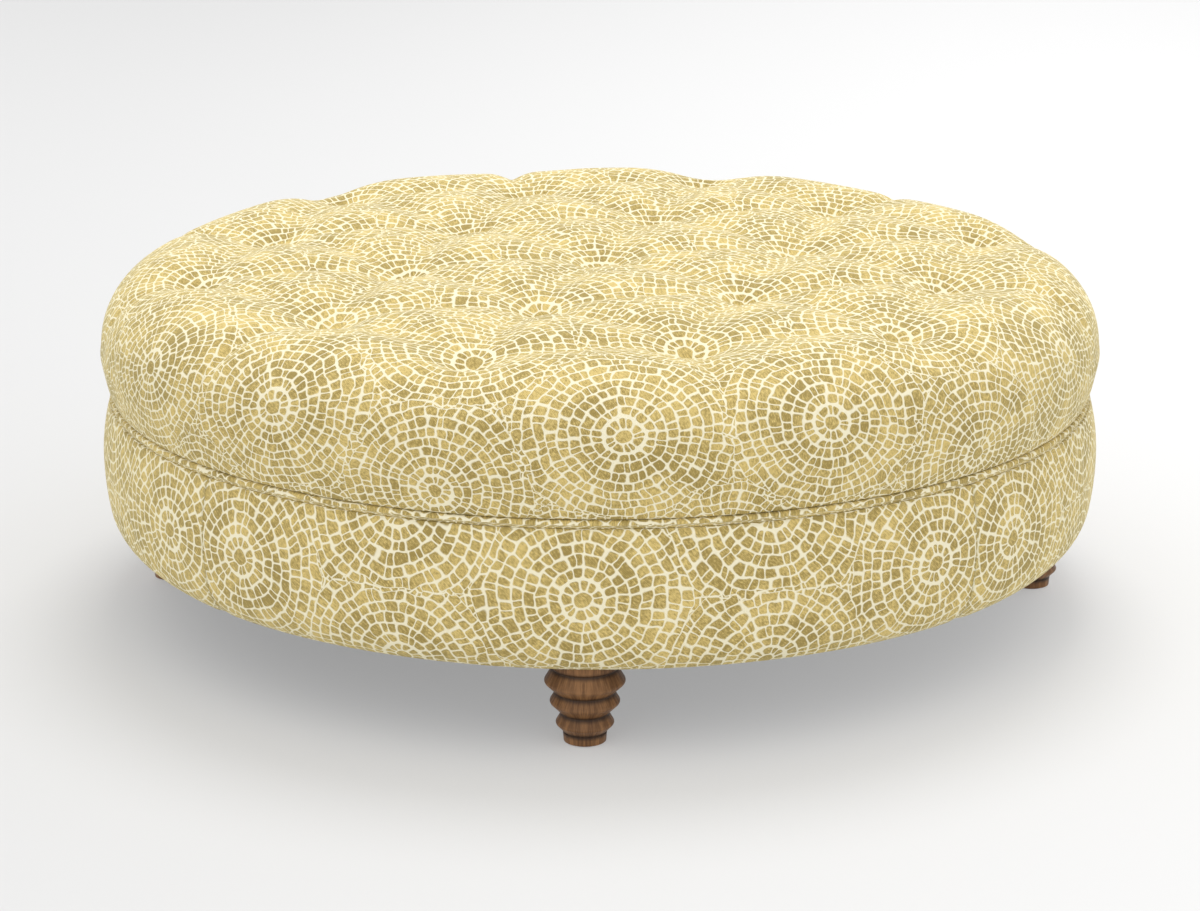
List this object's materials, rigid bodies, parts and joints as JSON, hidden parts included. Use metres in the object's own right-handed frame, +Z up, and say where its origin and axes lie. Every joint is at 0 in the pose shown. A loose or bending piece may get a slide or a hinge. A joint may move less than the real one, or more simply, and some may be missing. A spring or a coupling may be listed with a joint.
{
  "type": "ottoman coffee table",
  "caption": "Round tufted ottoman coffee table: a buttonless tufted cushion on a padded, welted base with turned bead legs.",
  "frame": {"origin": "centre of the underside of the feet, on the floor", "axes": "+Z up through the middle of the cushion; a leg stands on each of +X, -X, +Y and -Y, and the -Y leg is the front one"},
  "size_m": [1.2212, 1.2212, 0.4289],
  "materials": {
    "leg_wood": "satin stained turned hardwood",
    "glide_nylon": "matte nylon",
    "zinc_steel": "zinc plated",
    "washer_steel": "plain steel",
    "staple_wire": "galvanised wire",
    "plywood": "raw plywood",
    "frame_lumber": "raw sawn softwood",
    "upholstery_foam": "open cell foam",
    "fibre_batting": "soft fibre",
    "cover_fabric": "woven twill with a mosaic of straw yellow tesserae and cream joints",
    "cotton_cord": "twisted cotton",
    "tack_strip_board": "pressed board",
    "dust_cover_cloth": "black non-woven cloth"
  },
  "bodies": {
    "root": {"leg_right": "leg_wood", "leg_back": "leg_wood", "leg_left": "leg_wood", "leg_front": "leg_wood", "leg_glides": "glide_nylon", "hanger_bolts": "zinc_steel", "tee_nuts": "zinc_steel", "frame_screws": "zinc_steel", "cushion_screws": "zinc_steel", "hoop_brads": "zinc_steel", "tufting_washers": "washer_steel", "hem_staples": "staple_wire", "base_cover_staples": "staple_wire", "dust_cover_staples": "staple_wire", "tack_strip_staples": "staple_wire", "cushion_staples": "staple_wire", "bottom_board": "plywood", "top_ring": "plywood", "deck_board": "plywood", "side_hoop": "plywood", "leg_block_right": "frame_lumber", "leg_block_back": "frame_lumber", "leg_block_left": "frame_lumber", "leg_block_front": "frame_lumber", "upright_1": "frame_lumber", "upright_2": "frame_lumber", "upright_3": "frame_lumber", "upright_4": "frame_lumber", "upright_5": "frame_lumber", "upright_6": "frame_lumber", "upright_7": "frame_lumber", "upright_8": "frame_lumber", "rail_front": "frame_lumber", "rail_back": "frame_lumber", "rail_right": "frame_lumber", "rail_left": "frame_lumber", "base_padding": "upholstery_foam", "cushion_foam": "upholstery_foam", "cushion_batting": "fibre_batting", "base_cover_right": "cover_fabric", "base_cover_back": "cover_fabric", "base_cover_left": "cover_fabric", "base_cover_front": "cover_fabric", "cushion_cover": "cover_fabric", "welt_cover": "cover_fabric", "welt_cord": "cotton_cord", "tufting_twines": "cotton_cord", "tack_strip": "tack_strip_board", "dust_cover": "dust_cover_cloth"}
  },
  "joints": []
}
